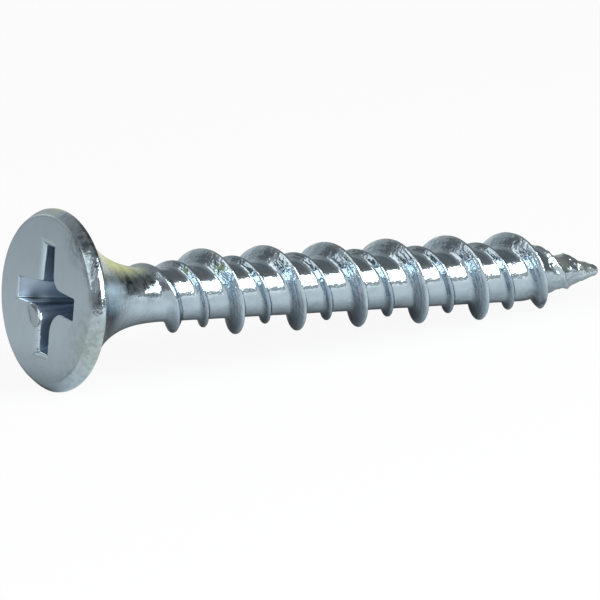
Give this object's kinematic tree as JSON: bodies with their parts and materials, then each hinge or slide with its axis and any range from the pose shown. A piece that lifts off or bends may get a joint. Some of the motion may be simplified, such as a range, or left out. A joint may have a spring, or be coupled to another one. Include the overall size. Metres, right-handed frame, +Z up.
{
  "type": "drywall screw",
  "caption": "Zinc-plated drywall screw: bugle head with a cross recess, coarse high-and-low twin thread and a sharp point, for fixing plasterboard.",
  "frame": {"origin": "centre of the bounding box in X and Y, on the surface the screw lies on", "axes": "+X along the lying screw from the head towards the point, +Z up. The screw rests on its head rim and on its high thread, so its own axis dips 5.4 degrees towards the point"},
  "size_m": [0.0298, 0.0082, 0.0082],
  "materials": {
    "zinc_plated_steel": "bright zinc plate with a blue passivation, lightly speckled, on cold-headed steel"
  },
  "bodies": {
    "root": {"screw": "zinc_plated_steel"}
  },
  "joints": []
}
